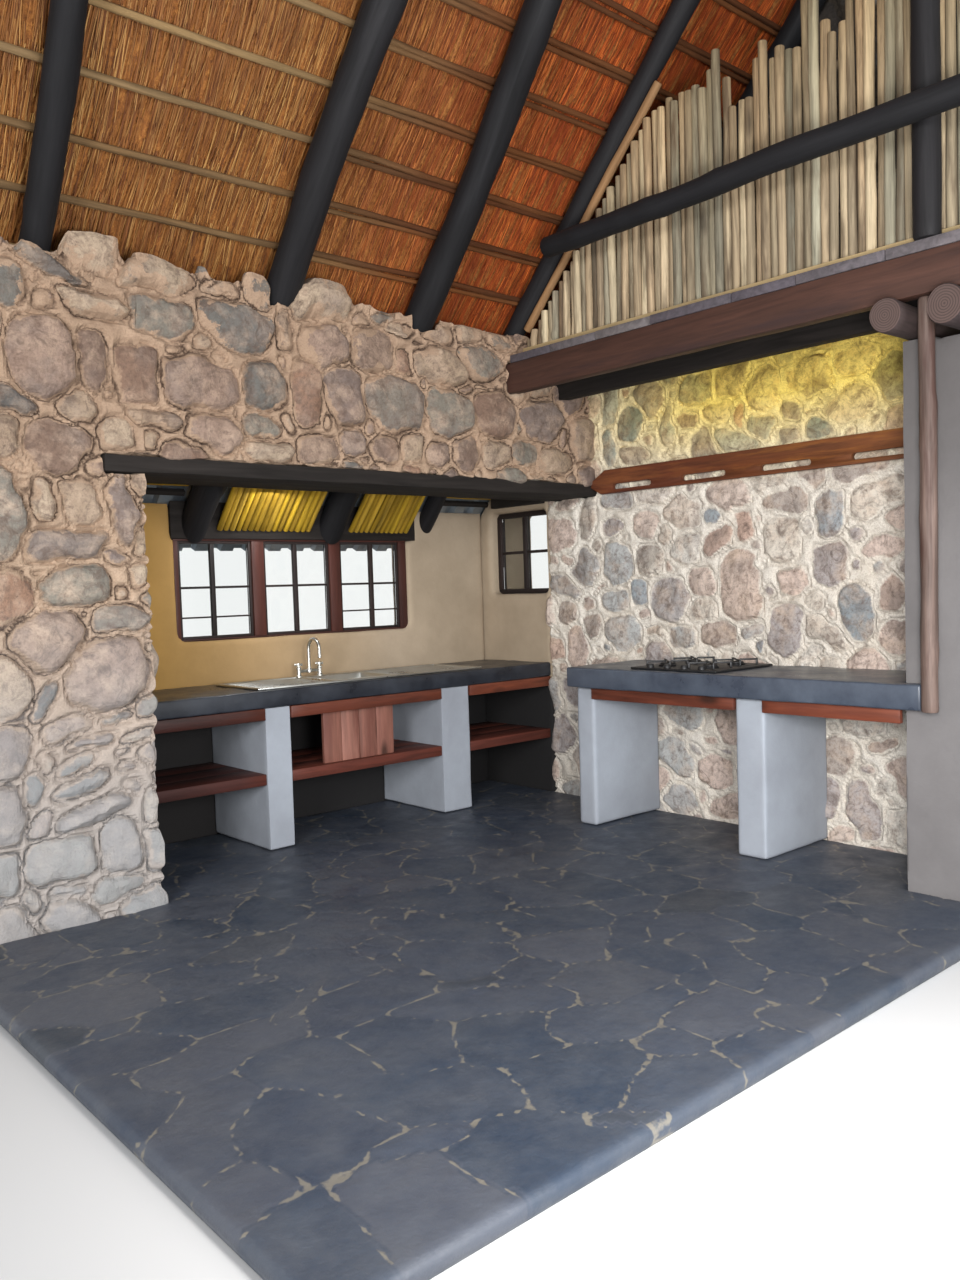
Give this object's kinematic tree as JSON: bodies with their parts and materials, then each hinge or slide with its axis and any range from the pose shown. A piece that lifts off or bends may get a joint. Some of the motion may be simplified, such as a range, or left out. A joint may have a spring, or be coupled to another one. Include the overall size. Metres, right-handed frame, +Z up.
{
  "type": "kitchen bay of a thatched stone hut",
  "caption": "Corner bay of a thatched stone hut: rubble walls, kitchen nook with window and counters, hob wall, loft front with pole screen, and a pole-and-thatch roof slope.",
  "frame": {"origin": "middle of the bounding box, on the ground under the walls", "axes": "+Z up, +Y out through the kitchen window, +X along the stone wall towards the hob wall"},
  "size_m": [4.63, 4.25, 6.1757],
  "materials": {
    "rubble_stone": "rough rubble in sandy mortar",
    "plaster": "hand-floated lime plaster",
    "slate": "riven slate crazy paving",
    "mortar": "trowelled mortar",
    "thatch": "dry thatching grass",
    "lath": "peeled sapling, weathered",
    "dark_pole": "blue-black stained gum pole",
    "black_timber": "black stained timber",
    "brown_beam": "dark brown stained timber",
    "grey_board": "grey stained board",
    "pale_strip": "raw timber",
    "pale_pole": "peeled pole, grey-green and cream",
    "ceiling_pole": "varnished sapling pole",
    "red_timber": "red-brown stained timber",
    "window_timber": "dark red-brown stained timber",
    "glass": "clear pane",
    "cement_slab": "polished dark blue-grey cement",
    "steel": "brushed",
    "roof_sheet": "galvanised ribbed sheet",
    "cast_iron": "matt black"
  },
  "bodies": {
    "root": {"slate_floor": "slate", "stone_pier_left": "rubble_stone", "stone_wall_over_opening": "rubble_stone", "hob_wall": "rubble_stone", "kitchen_end_wall": "plaster", "kitchen_back_wall": "plaster", "kitchen_side_wall": "plaster", "plaster_pier": "plaster", "opening_lintel": "black_timber", "wall_plate": "black_timber", "rafter_1": "dark_pole", "rafter_2": "dark_pole", "rafter_3": "dark_pole", "rafter_4": "dark_pole", "rafter_5": "dark_pole", "roof_laths": "lath", "thatch": "thatch", "ridge_cap": "mortar", "ridge_pole": "dark_pole", "kitchen_ceiling": "ceiling_pole", "nook_end_poles": "ceiling_pole", "nook_battens": "black_timber", "kitchen_roof_sheets": "roof_sheet", "loft_front_beam": "brown_beam", "loft_joist": "black_timber", "loft_floor_boards": "grey_board", "loft_gable": "rubble_stone", "loft_sole_strip": "pale_strip", "loft_screen_poles": "pale_pole", "screen_edge_pole": "lath", "loft_handrail": "dark_pole", "loft_post": "dark_pole", "bearer_log_1": "dark_pole", "bearer_log_2": "dark_pole", "corner_pole": "red_timber", "utensil_rail": "red_timber", "window_frame": "window_timber", "window_lights": "window_timber", "window_glass": "glass", "small_window_frame": "window_timber", "small_window_glass": "glass", "small_window_board": "black_timber", "sink_counter_slab": "cement_slab", "sink": "steel", "tap": "steel", "sink_counter_piers": "plaster", "sink_counter_aprons": "red_timber", "sink_counter_shelves": "red_timber", "cupboard_planks": "red_timber", "hob_counter_slab": "cement_slab", "hob_counter_piers": "plaster", "hob_counter_aprons": "red_timber", "hob": "cast_iron"}
  },
  "joints": []
}
